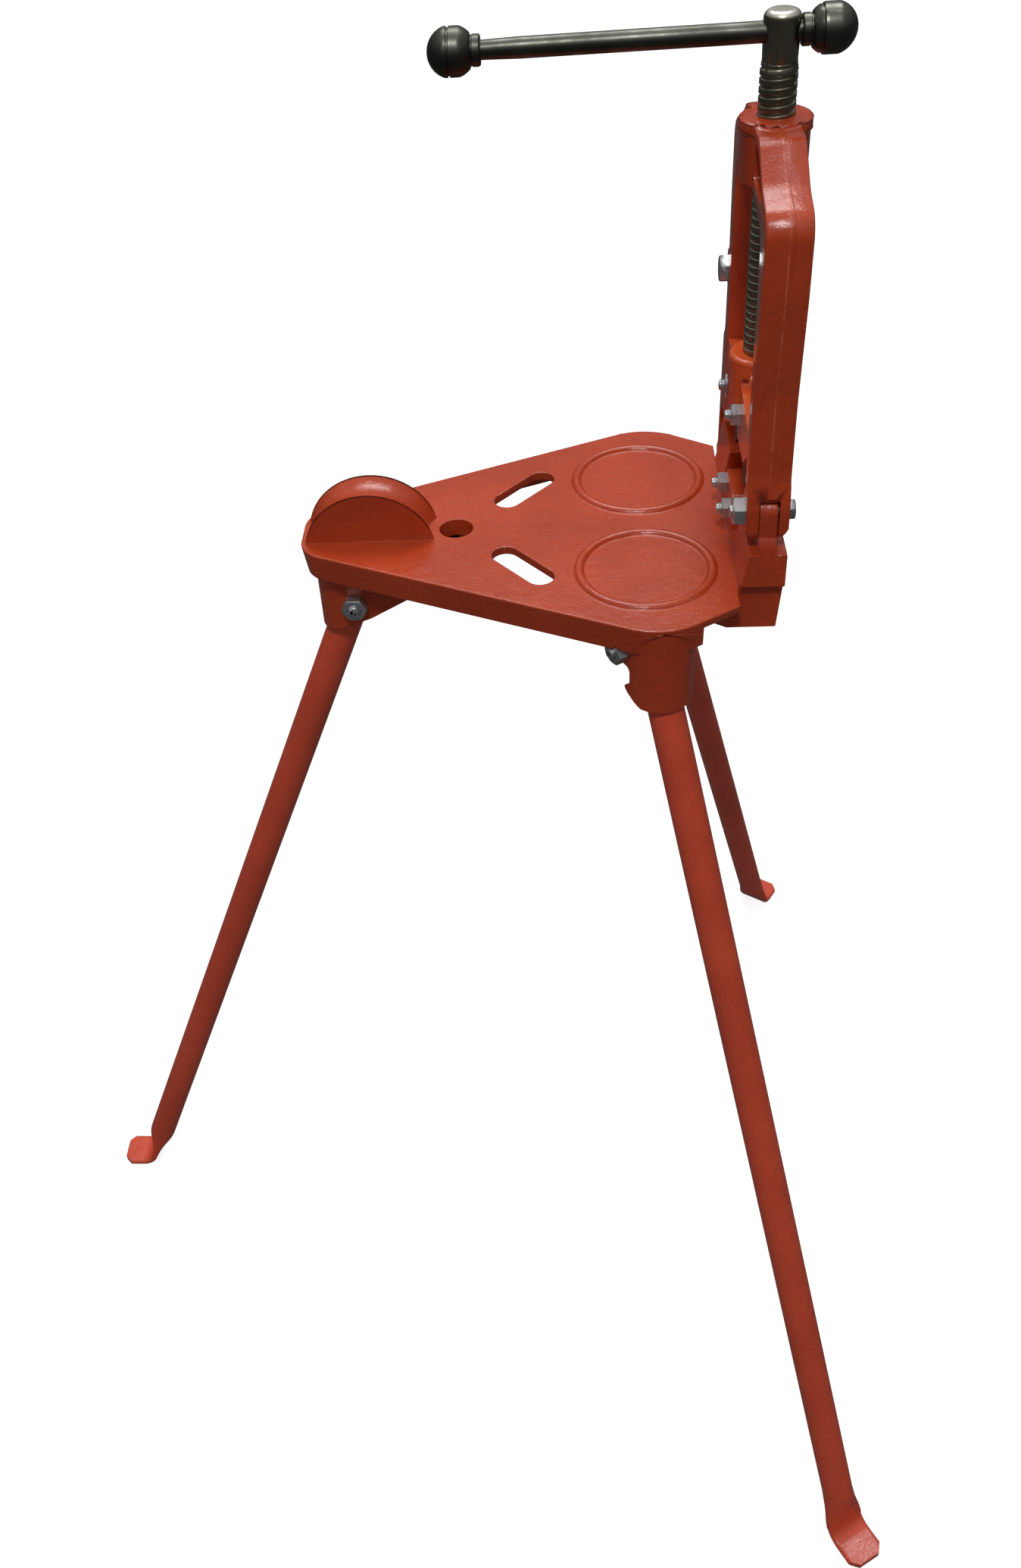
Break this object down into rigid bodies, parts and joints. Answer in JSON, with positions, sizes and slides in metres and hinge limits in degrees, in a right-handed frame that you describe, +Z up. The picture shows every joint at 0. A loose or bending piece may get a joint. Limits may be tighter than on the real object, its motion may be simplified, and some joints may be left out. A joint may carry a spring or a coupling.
{
  "type": "tripod pipe vise stand",
  "caption": "Tripod stand with a yoke pipe vise at the end of a wedge-shaped tool tray: hinged yoke with latch hook, screw-driven V jaw, grooved pipe rest and folding tube legs.",
  "frame": {"origin": "on the floor, at the middle of the whole stand's plan box", "axes": "+X along a gripped pipe, from the pipe rest towards the vise; +Y towards the latch; +Z up"},
  "size_m": [0.7206, 0.7748, 1.11],
  "materials": {
    "orange_paint": "semi-gloss orange-red enamel on sand-cast iron",
    "carrier_paint": "semi-gloss orange enamel on cast iron",
    "leg_paint": "satin red-orange paint on steel tube",
    "dark_steel": "dark turned steel, worn bright where it rubs",
    "jaw_steel": "blackened hardened tool steel",
    "zinc_steel": "bright zinc plate"
  },
  "bodies": {
    "stand": {"head_casting": "orange_paint", "leg_pivot_bolts": "zinc_steel", "leg_pivot_nuts": "zinc_steel", "lower_jaw": "jaw_steel", "lower_jaw_bolts": "zinc_steel", "lower_jaw_nuts": "zinc_steel"},
    "leg_front": {"leg_front": "leg_paint"},
    "leg_near": {"leg_near": "leg_paint"},
    "leg_far": {"leg_far": "leg_paint"},
    "yoke": {"yoke": "orange_paint", "hinge_bolt": "zinc_steel", "hinge_nut": "zinc_steel", "latch_bolt": "zinc_steel", "latch_nut": "zinc_steel"},
    "latch": {"latch_hook": "orange_paint"},
    "carrier": {"jaw_carrier": "carrier_paint", "upper_jaw": "jaw_steel", "upper_jaw_bolts": "zinc_steel", "upper_jaw_nuts": "zinc_steel", "screw_retaining_pins": "dark_steel"},
    "screw": {"clamp_screw": "dark_steel"},
    "handle": {"handle_bar": "dark_steel", "handle_ball_left": "dark_steel", "handle_ball_right": "dark_steel"}
  },
  "joints": [
    {"name": "leg_front_fold", "type": "hinge", "parent": "stand", "child": "leg_front", "pos_m": [-0.03413, 0, 0.724], "axis": [0, -1, 0], "range_deg": [0, 28]},
    {"name": "leg_near_fold", "type": "hinge", "parent": "stand", "child": "leg_near", "pos_m": [0.17457, -0.0974, 0.7445], "axis": [0.8517, 0.524, 0], "range_deg": [0, 28]},
    {"name": "leg_far_fold", "type": "hinge", "parent": "stand", "child": "leg_far", "pos_m": [0.17457, 0.0974, 0.7445], "axis": [-0.8517, 0.524, 0], "range_deg": [0, 28]},
    {"name": "yoke_hinge", "type": "hinge", "parent": "stand", "child": "yoke", "pos_m": [0.24777, -0.0755, 0.827], "axis": [1, 0, 0], "range_deg": [0, 85]},
    {"name": "latch_swing", "type": "hinge", "parent": "yoke", "child": "latch", "pos_m": [0.24777, 0.092, 0.9175], "axis": [1, 0, 0], "range_deg": [-2.6, 60]},
    {"name": "carrier_slide", "type": "slide", "parent": "yoke", "child": "carrier", "axis": [0, 0, 1], "range_m": [-0.023, 0.1]},
    {"name": "screw_turn", "type": "hinge", "parent": "carrier", "child": "screw", "pos_m": [0.24777, 0, 0.8875], "axis": [0, 0, 1], "range_deg": [-1650, 7110]},
    {"name": "handle_slide", "type": "slide", "parent": "screw", "child": "handle", "axis": [1, 0, 0], "range_m": [0, 0.159]}
  ],
  "couplings": [
    {"joint": "screw_turn", "follows": "carrier_slide", "rad_per_m": 1236.8}
  ]
}
